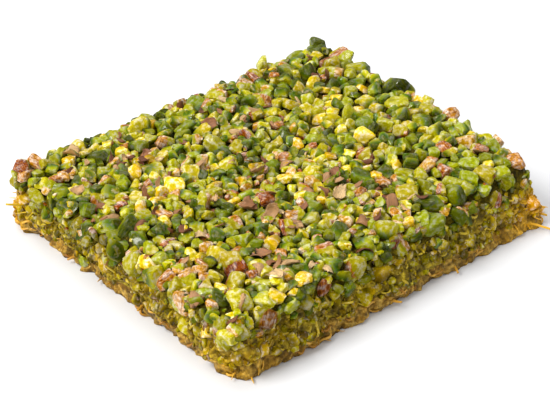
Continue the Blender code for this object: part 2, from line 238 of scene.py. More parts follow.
# Smaller ones that only the looks have: count and sizes, then seed, heights, depth and coats
MORE_RIM_SIZES = (260, 1.6, 4.2)
MORE_RIM_CHUNKS = (22, (TOPPING_LOW - 1.2, BED_SHOULDER + 1.8), RIM_SINK, RIM_COATS)
FILLING_CRUMB_SIZES = (1200, 0.8, 2.9)
FILLING_CRUMBS = (23, (FILLING_LOW - 0.8, FILLING_TOP + 0.8), 0.3, (0.0, 0.7))

# Grit and flakes strewn on the top: seed, count, sizes and places tried, then their shapes
GRIT = (24, 240, (0.9, 2.2), 6)
FLAKES = (25, 120, (2.0, 4.8), 2)
STREWN_LIFT = 0.3
FLAKE_THICKNESS = 0.16
FLAKE_NARROW = 0.75
FLAKE_RAGGED = 0.45
FLAKE_LUMPS = 2.6
FLAKE_CURL = 1.6
FLAKE_ROLL = 2
FLAKE_STEPS = 6

# Shares of the kinds, and the notable places whose kind a large chunk on them takes
KIND_SEED = 31
KIND_SHARES = {"green": 0.27, "lime": 0.19, "yellow": 0.08, "dark": 0.2, "mauve": 0.26}
NEIGHBOUR_REACH = 1.8
NEIGHBOUR_SIZE = 3.9
PLACED_KINDS = [(x, y, kind) for x, y, _, _, kind in NOTABLE_CHUNKS] + [(-44.6, 38.6, "mauve")]

# Loose strands of pastry at the cut sides, as in the solids: seed, count and levels by layer
BASE_STRANDS = (14, 8, 0, BASE_TOP)
FILLING_STRANDS = (15, 7, FILLING_LOW, FILLING_TOP)
STRAND_RADIUS = 0.42
STRAND_TAPER = 0.35
LOOSE_TINT = 0.7
STRAND_ROOM = 0.5
STRAND_MARGIN = 3 * STRAND_RADIUS
STRAND_SIDES = 6
CAP_QUADS = ((0, 1, 2, 3), (0, 3, 4, 5))
STRAND_SHARES = np.linspace(0, 1, 9)
STRAND_REACH = (1.2, 3.0)
ELBOW_SHARE = 0.3
ELBOW_LEAN = (0.2, 0.6)
TIP_LEAN = (0.2, 1.0)
TIP_RISE = 0.8
NEARLY_UP = (0.3, 0.2, 0.93)
ROOT_DEPTH = 2.2
OUTERMOST_BASE = (
    ((46.0, -40.0, 1.7), (51.0, -42.0, 1.7), (REACH_X, -40.5, 1.2)),
    ((44.0, -40.0, 1.7), (46.5, -45.0, 1.7), (48.5, -REACH_Y, 1.0)),
    ((-30.0, 40.0, 1.7), (-31.5, 45.0, 1.7), (-34.0, REACH_Y, 1.1)),
)
OUTERMOST_FILLING = (((-46.0, 38.0, 7.1), (-50.5, 38.5, 7.1), (-REACH_X, 40.0, 8.6)),)

# Tufts of fine strands that only the looks have: angle, height, count and reach
BASE_TUFTS = ((-138.0, 1.4, 3, 2.6), (174.0, 1.8, 2, 1.8), (-116.0, 1.6, 3, 2.0), (-42.0, 1.8, 6, 2.8))
FILLING_TUFTS = ((139.0, 8.6, 6, 2.4), (140.0, 6.0, 5, 2.6), (-42.0, 4.8, 4, 2.2))
TUFT_SEED = 45
TUFT_SPREAD = 5.0
TUFT_SHARE = (0.5, 1.0)
TUFT_RADIUS = (0.25, 0.48)
TUFT_RISE = 1.4
TUFT_TAPER = 0.85
TUFT_TINT = (0.6, 1.0)

# Strands that lie in the cut sides: seed, count, levels and slope, then their wavy shape
BASE_SHREDS = (41, 90, 0.4, BASE_TOP, 0.5)
FILLING_SHREDS = (42, 300, FILLING_LOW, FILLING_TOP, 1.1)
SHRED_LENGTHS = (1.6, 5.0)
SHRED_RADIUS = (0.18, 0.4)
SHRED_THINNER = 0.45
SHRED_LIFT = (-0.55, 0.05)
SHRED_ARCH = 1.1
SHRED_SINK = 0.75
SHRED_WAVE = 0.35
SHRED_WAVE_TURN = 5

# Corners where the side is more amber: place in plan, share of the colour and reach
WARM_CORNERS = ((51.5, -44.8, 0.95, 13), (-51.0, 44.0, 0.8, 6), (-49.5, -44.0, 0.25, 13))
WARM_TOP = 11.5
WARM_FADE = 3.0

# Screen colours, each number from 0 to 255. A ramp's rows are place and colour
WARM_COLOUR = (230, 174, 26)
BED_COLOURS = ((0.2, (62, 54, 0)), (0.8, (140, 122, 18)))
FILLING_COLOURS = ((0.2, (90, 72, 0)), (0.5, (142, 118, 6)), (0.8, (188, 164, 38)))
BASE_COLOURS = ((0.2, (108, 72, 10)), (0.5, (164, 122, 30)), (0.8, (212, 172, 76)))
FLAKE_COLOURS = (
    (0.0, (104, 56, 28)),
    (0.35, (150, 98, 62)),
    (0.7, (200, 160, 108)),
    (1.0, (214, 184, 134)),
)
FILLING_SHRED_COLOURS = ((0.0, (116, 94, 2)), (0.5, (158, 134, 12)), (1.0, (212, 186, 48)))
BASE_SHRED_COLOURS = ((0.0, (136, 84, 12)), (0.5, (176, 124, 28)), (1.0, (214, 166, 64)))

# Colours of a kernel's heart, flesh, rim, skin and the streaks in its skin, by kind
KERNEL_COLOURS = {
    "green": ((162, 162, 40), (112, 128, 6), (44, 80, 0), (52, 72, 0), (104, 104, 26)),
    "lime": ((194, 182, 66), (162, 160, 10), (86, 106, 0), (110, 106, 14), (158, 144, 42)),
    "yellow": ((228, 204, 86), (210, 174, 18), (172, 148, 10), (166, 130, 30), (206, 176, 66)),
    "dark": ((124, 130, 14), (74, 98, 0), (32, 56, 0), (38, 58, 0), (92, 96, 30)),
    "mauve": ((172, 162, 50), (138, 128, 24), (96, 84, 16), (114, 66, 46), (214, 166, 112)),
}
CRUMB_COLOURS = ((190, 166, 36), (148, 124, 4), (104, 88, 0), (134, 78, 10), (190, 128, 40))

# Where the skin of a kernel starts, from -1 at its bare side to 1 at the middle of its skin
SKIN_STARTS = {"green": 0.7, "lime": 0.85, "yellow": 1.2, "dark": 0.35, "mauve": 0.1}
CRUMB_SKIN_START = 1.0

# Surfaces: gloss, how wet, and how dark in the gaps and hollows, where shade is painted into the
# colour; paste on some side chunks darkens as far
COAT_ROUGHNESS = 0.12
KERNEL_WET = 0.75
CRUMB_WET = 0.3
GAP_SHADE = 0.2
GRAIN_FINER = 2.6

# Camera, fitted to the photo
LENS = 117.8
SENSOR = 36.0
AZIMUTH = -40.7
ELEVATION = 33.0
DISTANCE = 449.5
AIM_HEIGHT = 9.0
AIM_RIGHT = 0.8
AIM_UP = 3.12
CLIP_START_M = 0.01

# Floor and lights in metres. A light's row is name, place, size, power and colour
FLOOR_SIDE_M = 8
FLOOR_LEVEL_M = -0.00005
FLOOR_COLOUR = (0.69, 0.695, 0.715, 1)
ROOM_COLOUR = (1, 1, 1, 1)
ROOM_STRENGTH = 0.75
LIGHTS = (
    ("key", (-0.7, 0.15, 0.8), 0.5, 12, (1, 0.985, 0.95)),
    ("top", (0.1, 0.35, 1.0), 0.7, 4, (1, 1, 1)),
)


# Layout, as in the solids


def smooth_step(share):
    share = min(max(share, 0), 1)
    return share * share * (3 - 2 * share)


def random_way(rng):
    way = np.array([rng.gauss(0, 1) for _ in range(3)])
    return way / np.linalg.norm(way)


def skin_side(kind):
    """Skin to the front for kinds that have it, and to the back for the others."""
    return 1 if kind in SKINNED_KINDS else -1


def walls(height):
    """Outward normal and distance from the middle of each of the four sides at a height."""
    share = height / HEIGHT
    corners = [Vector(low).lerp(Vector(high), share) for low, high in zip(BASE_CORNERS, TOP_CORNERS)]
    found = []
    for here, after in zip(corners, corners[1:] + corners[:1]):
        along = (after - here).normalized()
        normal = Vector((along.y, -along.x))
        found.append((normal, normal.dot(here)))
    return found


def outline(angle, height):
    """Plan point of the smooth side at an angle round the middle, and the outward normal."""
    direction = Vector((math.cos(angle), math.sin(angle)))
    sides = walls(height)
    shares = [max(normal.dot(direction), 0) / distance for normal, distance in sides]
    weights = [(share / max(shares)) ** CORNER_SHARPNESS for share in shares]
    reach = sum(weights) ** (-1 / CORNER_SHARPNESS) / max(shares)
    blend = sum((w * normal for w, (normal, _) in zip(weights, sides)), Vector((0, 0)))
    return direction * reach, blend.normalized()


def side_point(angle, height, out=0.0):
    """Point of the craggy cut side, moved outwards by out."""
    plan, normal = outline(angle, height)
    spot = Vector((plan.x, plan.y, height))
    crag = noise.noise(spot / CRAG_SIZE) * CRAG_DEPTH
    crumb = noise.noise(spot / CRUMB_SIZE) * CRUMB_DEPTH
    return spot + normal.to_3d() * (crag + crumb + out)


def way_round():
    """Angles round the middle, and how far along the outline each lies."""
    fine = np.linspace(0, math.tau, WAY_POINTS)
    points = np.array([outline(angle, HEIGHT / 2)[0] for angle in fine])
    steps = np.linalg.norm(np.diff(points, axis=0), axis=1)
    return fine, np.concatenate([[0], np.cumsum(steps)])


def even_angles(count):
    """Angles that step evenly along the outline, and not round the middle."""
    fine, along = way_round()
    return np.interp(np.arange(count) * along[-1] / count, along, fine)


def plan_share(x, y):
    """Share of the way from the middle to the outline of the top."""
    plan, _ = outline(math.atan2(y, x), BED_TOP)
    return math.hypot(x, y) / plan.length


def bed_height(x, y):
    """Top of the bed under the chopped pistachios: fuller along +X, and lower near the sides."""
    past = (plan_share(x, y) - BED_EDGE_SHARE) / (1 - BED_EDGE_SHARE)
    drop = BED_EDGE_DROP * smooth_step(past)
    bulge = BED_BULGE * smooth_step(x / BED_BULGE_X) * max(1 - (y / BED_BULGE_Y) ** 2, 0)
    return BED_TOP + bulge - drop


class Chunk:
    """A bit of a chopped kernel: a block between flat knife cuts, rounded at its corners."""

    def __init__(self, rng, size):
        self.size = size
        wide, flat = size * rng.uniform(*CHUNK_WIDTH), size * rng.uniform(*CHUNK_THICKNESS)
        self.radii = np.array((size / 2, wide, flat))
        self.cuts = []
        for axis in np.concatenate([np.eye(3), -np.eye(3)]):
            self.cut(axis + [rng.gauss(0, FACE_SLANT) for _ in range(3)], rng.uniform(*FACE_CUT))
        for _ in range(rng.randint(*CORNER_CUTS)):
            self.cut(random_way(rng), rng.uniform(*CORNER_CUT))
        tilt = (rng.gauss(0, CHUNK_TILT), rng.gauss(0, CHUNK_TILT), rng.uniform(0, math.tau))
        self.turn = np.array(Euler(tilt).to_matrix())
        self.place = np.zeros(3)
        self.coated = 0.0
        self.skin_side = 0
        self.spread = (size / 2 + wide) / 2
        self.rise = flat

    def cut(self, normal, share):
        """Trims the chunk flat, at a share of how far its rounded body reaches that way."""
        normal = normal / np.linalg.norm(normal)
        self.cuts.append((normal, share * np.linalg.norm(normal * self.radii)))

    def tip(self, degrees):
        """Tips the chunk up, so that one end of its long way rises."""
        pitch = math.radians(degrees)
        self.turn = self.turn @ np.array(Euler((0, pitch, 0)).to_matrix())
        self.rise = self.rise * math.cos(pitch) + self.size / 2 * math.sin(pitch)

    def lay_on_side(self, angle, height, out):
        """Lays the chunk on the cut side, its flat outwards, moved out by a share of its rise."""
        _, normal = outline(angle, height)
        self.turn = np.array(normal.to_3d().to_track_quat("Z", "Y").to_matrix()) @ self.turn
        self.place = np.array(side_point(angle, height, out * self.rise))

    def skin_way(self, rng):
        """The way in the kernel that its skin faces: any, or to the front or the back."""
        way = random_way(rng)
        return self.skin_side * np.array(FRONT_WAY) @ self.turn if self.skin_side else way

    def shape(self, directions):
        """Directions drawn out with the body, and how far the surface lies along each."""
        directions = directions * self.radii
        directions /= np.linalg.norm(directions, axis=1)[:, None]
        body = np.linalg.norm(directions / self.radii, axis=1) / ROUNDNESS
        terms = [body**CHUNK_SHARPNESS]
        for normal, depth in self.cuts:
            terms.append(np.clip(directions @ normal / depth, 0, None) ** CHUNK_SHARPNESS)
        return directions, np.sum(terms, axis=0) ** (-1 / CHUNK_SHARPNESS)


class Ground:
    """Height of what already lies on the top, on a square grid."""

    def __init__(self):
        self.xs = np.arange(-REACH_X, REACH_X + GRID_STEP, GRID_STEP)
        self.ys = np.arange(-REACH_Y, REACH_Y + GRID_STEP, GRID_STEP)
        self.heights = np.array([[bed_height(x, y) for y in self.ys] for x in self.xs])
        self.inside = np.array([[plan_share(x, y) < BED_EDGE_SHARE for y in self.ys] for x in self.xs])

    def under(self, x, y, radius):
        """Slices of the grid below a round footprint, and each cell's share of its radius."""
        rows = slice(*np.searchsorted(self.xs, (x - radius, x + radius + GRID_STEP)))
        columns = slice(*np.searchsorted(self.ys, (y - radius, y + radius + GRID_STEP)))
        away = np.hypot(self.xs[rows, None] - x, self.ys[None, columns] - y) / radius
        return rows, columns, away

    def level(self, x, y, radius):
        rows, columns, away = self.under(x, y, radius)
        return self.heights[rows, columns][away <= 1].mean()

    def lay(self, x, y, radius, middle, rise):
        rows, columns, away = self.under(x, y, radius)
        dome = middle + rise * np.sqrt(np.clip(1 - away**2, 0, 1))
        patch = self.heights[rows, columns]
        self.heights[rows, columns] = np.where(away < 1, np.maximum(patch, dome), patch)

    def buried(self, points):
        """How deep points lie under the heap's surface, as a share of BURIED_DEPTH: the share of
        painted shade that kernels there take.
        """
        heights = np.where(self.inside, self.heights, 0)
        spots = (points[:, :2] + (REACH_X, REACH_Y)) / GRID_STEP
        spots = np.clip(spots, 0, np.array(heights.shape) - GRID_MARGIN)
        row, column = spots.astype(int).T
        right, up = (spots % 1).T
        near = heights[row, column] * (1 - right) + heights[row + 1, column] * right
        far = heights[row, column + 1] * (1 - right) + heights[row + 1, column + 1] * right
        return np.clip((near * (1 - up) + far * up - points[:, 2]) / BURIED_DEPTH, 0, 1)


def chunk_size(index, largest, fall):
    """Size of a chunk by its place in the order, largest first."""
    return SMALLEST_CHUNK + (largest - SMALLEST_CHUNK) * math.exp(-index / fall)


def top_size(index):
    """Size on the top: as in the solids for the chunks that they have, then falling more slowly."""
    size = chunk_size(min(index, SOLID_COUNT), TOPPING_LARGEST, TOPPING_FALL)
    further = math.exp(-max(index - SOLID_COUNT, 0) / SLOWER_FALL)
    return SMALLEST_ON_TOP + (size - SMALLEST_ON_TOP) * further


def top_spot(rng):
    """A random place on the top, inside its corners."""
    low, right, far, left = (Vector(corner) for corner in TOP_CORNERS)
    u, v = (rng.uniform(TOP_MARGIN, 1 - TOP_MARGIN) for _ in range(2))
    return low.lerp(right, u).lerp(left.lerp(far, u), v)


def laid_chunk(rng, size, spots, ground, degrees=0):
    """A chunk laid on what is already there, where the fewest lie of a few places."""
    chunk = Chunk(rng, size)
    chunk.tip(degrees)
    spot = min(spots, key=lambda at: ground.level(*at, chunk.spread) - bed_height(*at))
    middle = ground.level(*spot, chunk.spread) + chunk.rise * rng.uniform(*TOPPING_LIFT)
    chunk.place = np.array((*spot, middle))
    ground.lay(*spot, chunk.spread, middle, chunk.rise)
    return chunk


def placed_chunks(rng, rows, ground):
    """Chunks at set places with their kinds, each laid on what is already there."""
    chunks = []
    for x, y, size, degrees, kind in rows:
        chunk = laid_chunk(rng, size, [(x, y)], ground, degrees)
        chunk.skin_side = skin_side(kind)
        chunks.append((chunk, kind))
    return chunks


def topping_chunks(count):
    """Chunks on the top with their kinds, the notable ones first, and the ground they make."""
    rng = random.Random(TOPPING_SEED)
    ground = Ground()
    chunks = placed_chunks(rng, NOTABLE_CHUNKS, ground)
    for index in range(count):
        spots = [tuple(top_spot(rng)) for _ in range(SPOTS_TRIED)]
        chunks.append((laid_chunk(rng, top_size(index), spots, ground), None))
    chunks += placed_chunks(rng, EDGE_CHUNKS, ground)
    return chunks, ground


def falling_sizes(count, largest, fall):
    return [chunk_size(index, largest, fall) for index in range(count)]


def even_sizes(count, smallest, largest):
    return list(np.linspace(smallest, largest, count))


def side_chunks(sizes, seed, heights, sink, coats):
    """Chunks spread evenly round the cut sides, their flats facing out, coated in dark paste."""
    rng = random.Random(seed)
    count = len(sizes)
    angles = even_angles(count)
    order = rng.sample(range(count), count)
    chunks = []
    for size, turn in zip(sizes, order):
        chunk = Chunk(rng, size)
        angle = angles[turn] + rng.uniform(-0.5, 0.5) * math.tau / count
        chunk.lay_on_side(angle, rng.uniform(*heights), -sink)
        chunk.coated = np.interp(turn * math.pi % 1, (0, 1), coats)
        chunks.append(chunk)
    return chunks


def notable_side_chunks():
    """The kernels at the sides that stand out, with their kinds."""
    rng = random.Random(SIDE_CHUNK_SEED)
    chunks = []
    for degrees, height, lean, size, kind in NOTABLE_SIDE_CHUNKS:
        chunk = Chunk(rng, size)
        chunk.turn = np.array(Euler((0, 0, math.radians(lean))).to_matrix())
        chunk.lay_on_side(math.radians(degrees), height, RIM_SINK)
        chunk.skin_side = skin_side(kind)
        chunks.append((chunk, kind))
    return chunks


def strewn_chunks(ground, seed, count, sizes, tries):
    """Small bits strewn over the heap, each in the lowest of a few places."""
    rng = random.Random(seed)
    chunks = []
    for _ in range(count):
        chunk = Chunk(rng, rng.uniform(*sizes))
        footprint = max(chunk.spread, GRID_STEP)
        spots = [top_spot(rng) for _ in range(tries)]
        level, spot = min((ground.level(*spot, footprint), tuple(spot)) for spot in spots)
        chunk.place = np.array((*spot, level + STREWN_LIFT * chunk.rise))
        chunks.append(chunk)
    return chunks


def strand_path(rng, angle, height, reach):
    """Root, elbow and tip of a loose strand, which leans along the side as it leaves it."""
    _, normal = outline(angle, height)
    out = normal.to_3d()
    along = Vector((-out.y, out.x, 0)) * rng.choice((-1, 1))
    root = side_point(angle, height, -ROOT_DEPTH)
    elbow = root + out * (ROOT_DEPTH + ELBOW_SHARE * reach) + along * rng.uniform(*ELBOW_LEAN) * reach
    tip = elbow + out * (1 - ELBOW_SHARE) * reach + along * rng.uniform(*TIP_LEAN) * reach
    tip.z += rng.uniform(-TIP_RISE, TIP_RISE)
    return root, elbow, tip


def kept_inside(path, low, high):
    """The path with its elbow and tip moved inside the overall box and the layer's levels."""
    limits = ((-REACH_X, REACH_X), (-REACH_Y, REACH_Y), (low, high))
    kept = [path[0]]
    for point in path[1:]:
        inside = [
            min(max(value, least + STRAND_ROOM), most - STRAND_ROOM)
            for value, (least, most) in zip(point, limits)
        ]
        kept.append(Vector(inside))
    return kept


def strands(seed, count, low, high):
    """Paths of loose strands spread round the sides, closer together near the corners."""
    rng = random.Random(seed)
    paths = []
    for index in range(count):
        angle = math.tau * (index + rng.random()) / count
        height = rng.uniform(low + STRAND_MARGIN, high - STRAND_MARGIN)
        path = strand_path(rng, angle, height, rng.uniform(*STRAND_REACH))
        paths.append(kept_inside(path, low, high))
    return paths


def bend(path):
    """Points on the bend from root to tip."""
    root, elbow, tip = (Vector(point) for point in path)
    return [root.lerp(elbow, share).lerp(elbow.lerp(tip, share), share) for share in STRAND_SHARES]


def loose_tubes(paths):
    """Centre points, radii and tint of the loose strands, tapering towards their tips."""
    radii = STRAND_RADIUS * (1 - STRAND_TAPER * STRAND_SHARES)
    return [(bend(path), radii, LOOSE_TINT) for path in paths]


def tuft_tubes(seed, tufts, low, high):
    """Fine strands that stand out of the side in a few tufts."""
    rng = random.Random(seed)
    tubes = []
    for degrees, height, count, reach in tufts:
        for _ in range(count):
            angle = math.radians(degrees + rng.uniform(-TUFT_SPREAD, TUFT_SPREAD))
            level = height + rng.uniform(-TUFT_RISE, TUFT_RISE)
            level = min(max(level, low + STRAND_ROOM), high - STRAND_ROOM)
            path = strand_path(rng, angle, level, reach * rng.uniform(*TUFT_SHARE))
            radii = rng.uniform(*TUFT_RADIUS) * (1 - TUFT_TAPER * STRAND_SHARES)
            tubes.append((bend(kept_inside(path, low, high)), radii, rng.uniform(*TUFT_TINT)))
    return tubes


def lying_strand(rng, way, low, high, slope):
    """A strand that lies in the cut side, dipping into it at both ends."""
    fine, along = way
    start, length = rng.uniform(0, along[-1]), rng.uniform(*SHRED_LENGTHS)
    lean = rng.gauss(0, slope)
    lift, radius = rng.uniform(*SHRED_LIFT), rng.uniform(*SHRED_RADIUS)
    middle, phase = rng.uniform(low, high), rng.uniform(0, math.tau)
    points = []
    for share in STRAND_SHARES:
        away = length * (share - 0.5)
        wave = SHRED_WAVE * math.sin(phase + SHRED_WAVE_TURN * share)
        distance = start + away * math.cos(lean) - wave * math.sin(lean)
        height = middle + away * math.sin(lean) + wave * math.cos(lean)
        angle = np.interp(distance % along[-1], along, fine)
        out = lift + SHRED_ARCH * (math.sin(math.pi * share) - SHRED_SINK)
        points.append(side_point(angle, min(max(height, low), high), out))
    radii = radius * (1 - SHRED_THINNER + SHRED_THINNER * np.sin(math.pi * STRAND_SHARES))
    return points, radii, rng.random()


def lying_tubes(seed, count, low, high, slope):
    """Strands that lie anywhere in the cut sides."""
    rng = random.Random(seed)
    way = way_round()
    return [lying_strand(rng, way, low, high, slope) for _ in range(count)]


# Meshes


def warmth(points):
    """How syrupy and amber the side is at each point, from 0 to 1: most at three corners."""
    found = np.zeros(len(points))
    for x, y, share, reach in WARM_CORNERS:
        away = np.hypot(points[:, 0] - x, points[:, 1] - y) / reach
        found = np.maximum(found, share * np.exp(-(away**2)))
    return found * np.clip((WARM_TOP - points[:, 2]) / WARM_FADE, 0, 1)


def add_object(name, data):
    made = bpy.data.objects.new(name, data)
    bpy.context.scene.collection.objects.link(made)
    return made


def piece(name, surface, slot, points, faces, attributes):
    """A smooth mesh from arrays, in millimetres, with numbers or vectors for each vertex."""
    points = np.asarray(points)
    mesh = bpy.data.meshes.new(name)
    mesh.vertices.add(len(points))
    mesh.vertices.foreach_set("co", (points * MM).astype(np.float32).ravel())
    sides = faces.shape[1]
    mesh.loops.add(faces.size)
    mesh.loops.foreach_set("vertex_index", faces.astype(np.int32).ravel())
    mesh.polygons.add(len(faces))
    mesh.polygons.foreach_set("loop_start", np.arange(0, faces.size, sides, dtype=np.int32))
    mesh.update(calc_edges=True)
    mesh.shade_smooth()
    for key, values in {"warm": warmth(points), **attributes}.items():
        values = np.asarray(values, np.float32)
        kind, field = ("FLOAT", "value") if values.ndim == 1 else ("FLOAT_VECTOR", "vector")
        mesh.attributes.new(key, kind, "POINT").data.foreach_set(field, values.ravel())
    mesh.materials.append(surface)
    made = add_object(name, mesh)
    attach(made, "root")
    return made


def joined(parts):
    """Many parts as one: points, faces and attributes, where one number goes to a whole part."""
    sizes = [len(points) for points, _, _ in parts]
    firsts = np.cumsum([0] + sizes[:-1])
    points = np.concatenate([part[0] for part in parts])
    faces = np.concatenate([part[1] + first for part, first in zip(parts, firsts)])
    found = {}
    for key in parts[0][2]:
        values = zip(sizes, (part[2][key] for part in parts))
        found[key] = np.concatenate([np.full(n, v) if np.isscalar(v) else v for n, v in values])
    return points, faces, found


def block(steps):
    """Points over a cube from -1 to 1, its faces cut into steps each way, and their quads."""
    bm = bmesh.new()
    bmesh.ops.create_cube(bm, size=2)
    bmesh.ops.subdivide_edges(bm, edges=bm.edges[:], cuts=steps - 1, use_grid_fill=True)
    points = np.array([v.co for v in bm.verts])
    quads = np.array([[v.index for v in face.verts] for face in bm.faces])
    bm.free()
    return points, quads


def rounded(points):
    """Unit directions through points."""
    return points / np.linalg.norm(points, axis=1)[:, None]


def noises(points):
    return np.array([noise.noise(point) for point in points.tolist()])


def noise_place(rng):
    """A place in the noise of a chunk's own."""
    return np.array([rng.uniform(-NOISE_REACH, NOISE_REACH) for _ in range(3)])


def dented(rng, directions):
    """Share of the reach that is left along each direction, after a few round dents."""
    left = np.ones(len(directions))
    for _ in range(DENTS):
        away = np.arccos(np.clip(directions @ random_way(rng), -1, 1)) / rng.uniform(*DENT_WIDTH)
        left -= rng.uniform(*DENT_DEPTH) * np.exp(-(away**2))
    return left


def settled(points, ceiling):
    """The points, lowered together where they would stand above a level."""
    return points - (0, 0, max(points[:, 2].max() - ceiling, 0))


def lumpy(rng, chunk, cube):
    """Points of a chunk before it is turned and placed, and where they lie in its grain."""
    directions, reach = chunk.shape(cube)
    offset = noise_place(rng)
    lumps = noises(directions * BROAD_LUMPS + offset)
    lumps += FINE_LUMP_SHARE * noises(directions * FINE_LUMPS - offset)
    reach = reach * dented(rng, directions) * (1 + CHUNK_RELIEF * lumps)
    local = directions * reach[:, None]
    return local, local + offset


def chunk_part(rng, chunk, blocks, ceiling):
    """One chunk's points, quads and attributes. Its mesh is finer the larger it is."""
    cube, quads = blocks[next(steps for least, steps in MESH_STEPS if chunk.size >= least)]
    local, grain = lumpy(rng, chunk, cube)
    points = settled(local @ chunk.turn.T + chunk.place, ceiling)
    skin = rounded(local / chunk.radii) @ chunk.skin_way(rng)
    # buried starts as the chunk's paste coat; join_chunks adds the heap's painted shade to it
    return points, quads, {"skin": skin, "tint": rng.random(), "buried": chunk.coated, "grain": grain}


def join_chunks(name, chunks, surface, slot, ceiling, ground=None):
    """One piece of many chunks. Each vertex knows how near it is to the kernel's skin."""
    blocks = {steps: block(steps) for _, steps in MESH_STEPS}
    rng = random.Random(name)
    points, faces, found = joined([chunk_part(rng, chunk, blocks, ceiling) for chunk in chunks])
    # Painted shade: the deeper a point lies in the heap, the darker its colour and the thinner its coat
    if ground:
        found["buried"] = np.maximum(found["buried"], ground.buried(points))
    made = piece(name, surface, slot, points, faces, found)
    made.data.set_sharp_from_angle(angle=SHARP_EDGE)


def flake_part(rng, chunk, directions, quads, ceiling):
    """A flattened and bent block: its points, quads and attributes."""
    offset = noise_place(rng)
    ragged = 1 + FLAKE_RAGGED * noises(directions * FLAKE_LUMPS + offset)
    size = (chunk.radii[0], FLAKE_NARROW * chunk.radii[1], FLAKE_THICKNESS)
    local = directions * ragged[:, None] * size
    curl, roll = (rng.uniform(-FLAKE_CURL, FLAKE_CURL) / chunk.size for _ in range(2))
    local[:, 2] += curl * local[:, 0] ** 2 + FLAKE_ROLL * roll * local[:, 1] ** 2
    points = settled(local @ chunk.turn.T + chunk.place, ceiling)
    return points, quads, {"tint": rng.random(), "grain": local + offset}


def join_flakes(name, chunks, surface, slot, ceiling):
    """One piece of thin curled flakes of skin."""
    cube, quads = block(FLAKE_STEPS)
    rng = random.Random(name)
    parts = [flake_part(rng, chunk, rounded(cube), quads, ceiling) for chunk in chunks]
    piece(name, surface, slot, *joined(parts))


def ring_faces(rings, columns):
    """Quads between rings of vertices, each ring numbered after the one below it."""
    lower = np.arange(columns)
    after = (lower + 1) % columns
    quads = np.stack([lower, after, after + columns, lower + columns], axis=1)
    return np.concatenate([quads + columns * row for row in range(rings - 1)])


def tube_part(centres, radii, tint):
    """A strand's points, its quads with those that close its ends, and its tint."""
    centres = np.array(centres)
    turns = np.linspace(0, math.tau, STRAND_SIDES, endpoint=False)
    ahead = rounded(np.gradient(centres, axis=0))
    across = rounded(np.cross(ahead, NEARLY_UP))
    points = []
    for centre, side, up, radius in zip(centres, across, np.cross(ahead, across), radii):
        points.append(centre + radius * (np.outer(np.cos(turns), side) + np.outer(np.sin(turns), up)))
    near_end = np.array(CAP_QUADS)
    far_end = near_end + (len(centres) - 1) * STRAND_SIDES
    faces = np.concatenate([ring_faces(len(centres), STRAND_SIDES), near_end, far_end])
    return np.concatenate(points), faces, {"tint": tint}


def join_tubes(name, tubes, surface, slot):
    """One piece of many strands, each a list of centre points with their radii and a tint."""
    piece(name, surface, slot, *joined([tube_part(*tube) for tube in tubes]))


# Materials


def colour(red, green, blue):
    """Linear colour of a screen colour."""
    shares = [value / 255 for value in (red, green, blue)]
    linear = [s / 12.92 if s <= 0.04045 else ((s + 0.055) / 1.055) ** 2.4 for s in shares]
    return (*linear, 1)


def feed(tree, made, inputs):
    """Gives a node's inputs numbers, colours or other nodes' outputs."""
    for key, value in inputs.items():
        if isinstance(value, bpy.types.NodeSocket):
            tree.links.new(value, made.inputs[key])
        else:
            made.inputs[key].default_value = value


def node(tree, kind, inputs=None, **settings):
    """Adds a node with its settings and inputs."""
    made = tree.nodes.new(kind)
    for key, value in settings.items():
        setattr(made, key, value)
    feed(tree, made, inputs or {})
    return made


def ramp(tree, factor, stops):
    """A colour ramp through (place, screen colour) stops."""
    made = node(tree, "ShaderNodeValToRGB", {"Fac": factor})
    elements = made.color_ramp.elements
    for element, (place, shade) in zip(elements, (stops[0], stops[-1])):
        element.position = place
        element.color = colour(*shade)
    for place, shade in stops[1:-1]:
        elements.new(place).color = colour(*shade)
    return made.outputs["Color"]


def mix(tree, factor, first, second):
    """From the first colour to the second. Numbers 6, 7 and 2 are the node's colour sockets."""
    return node(tree, "ShaderNodeMix", {0: factor, 6: first, 7: second}, data_type="RGBA").outputs[2]


def math_node(tree, operation, first, second, clamp=False):
    made = node(tree, "ShaderNodeMath", {0: first, 1: second}, operation=operation, use_clamp=clamp)
    return made.outputs[0]


def noise_node(tree, vector, scale, detail=3.0, roughness=0.55):
    inputs = {"Vector": vector, "Scale": scale, "Detail": detail, "Roughness": roughness}
    return node(tree, "ShaderNodeTexNoise", inputs).outputs["Fac"]


def streaked(tree, grain, stretch, scale, roughness):
    """Noise drawn out along the long way of a chunk."""
    drawn_out = node(tree, "ShaderNodeMapping", {"Vector": grain, "Scale": stretch}).outputs["Vector"]
    return noise_node(tree, drawn_out, scale, detail=5, roughness=roughness)


def cells(tree, place, scale):
    """Round bits side by side: how far from a bit's middle, and a share of each bit's own."""
    made = node(tree, "ShaderNodeTexVoronoi", {"Vector": place, "Scale": scale})
    parts = node(tree, "ShaderNodeSeparateColor", {"Color": made.outputs["Color"]})
    return made.outputs["Distance"], parts.outputs[0]


def bump(tree, height, strength, distance):
    """Distance is in millimetres."""
    inputs = {"Height": height, "Strength": strength, "Distance": distance * MM}
    return node(tree, "ShaderNodeBump", inputs).outputs["Normal"]


def attribute(tree, name, output="Fac"):
    return node(tree, "ShaderNodeAttribute", attribute_name=name).outputs[output]


def mapped(tree, value, low, high, start=0.0, end=1.0):
    """Goes from low to high while the value goes from start to end, and stays level past them."""
    inputs = {"Value": value, "From Min": start, "From Max": end, "To Min": low, "To Max": high}
    return node(tree, "ShaderNodeMapRange", inputs).outputs["Result"]


def adjusted(tree, shade, **amounts):
    """The colour with its Hue, Saturation or Value changed."""
    return node(tree, "ShaderNodeHueSaturation", {"Color": shade, **amounts}).outputs["Color"]


def darkened(tree, shade, amount, deepest):
    """The colour, darkened where amount is near 1."""
    return adjusted(tree, shade, Value=mapped(tree, amount, 1.0, deepest))


def warmed(tree, shade):
    """The colour, more amber at the corners."""
    return mix(tree, attribute(tree, "warm"), shade, colour(*WARM_COLOUR))


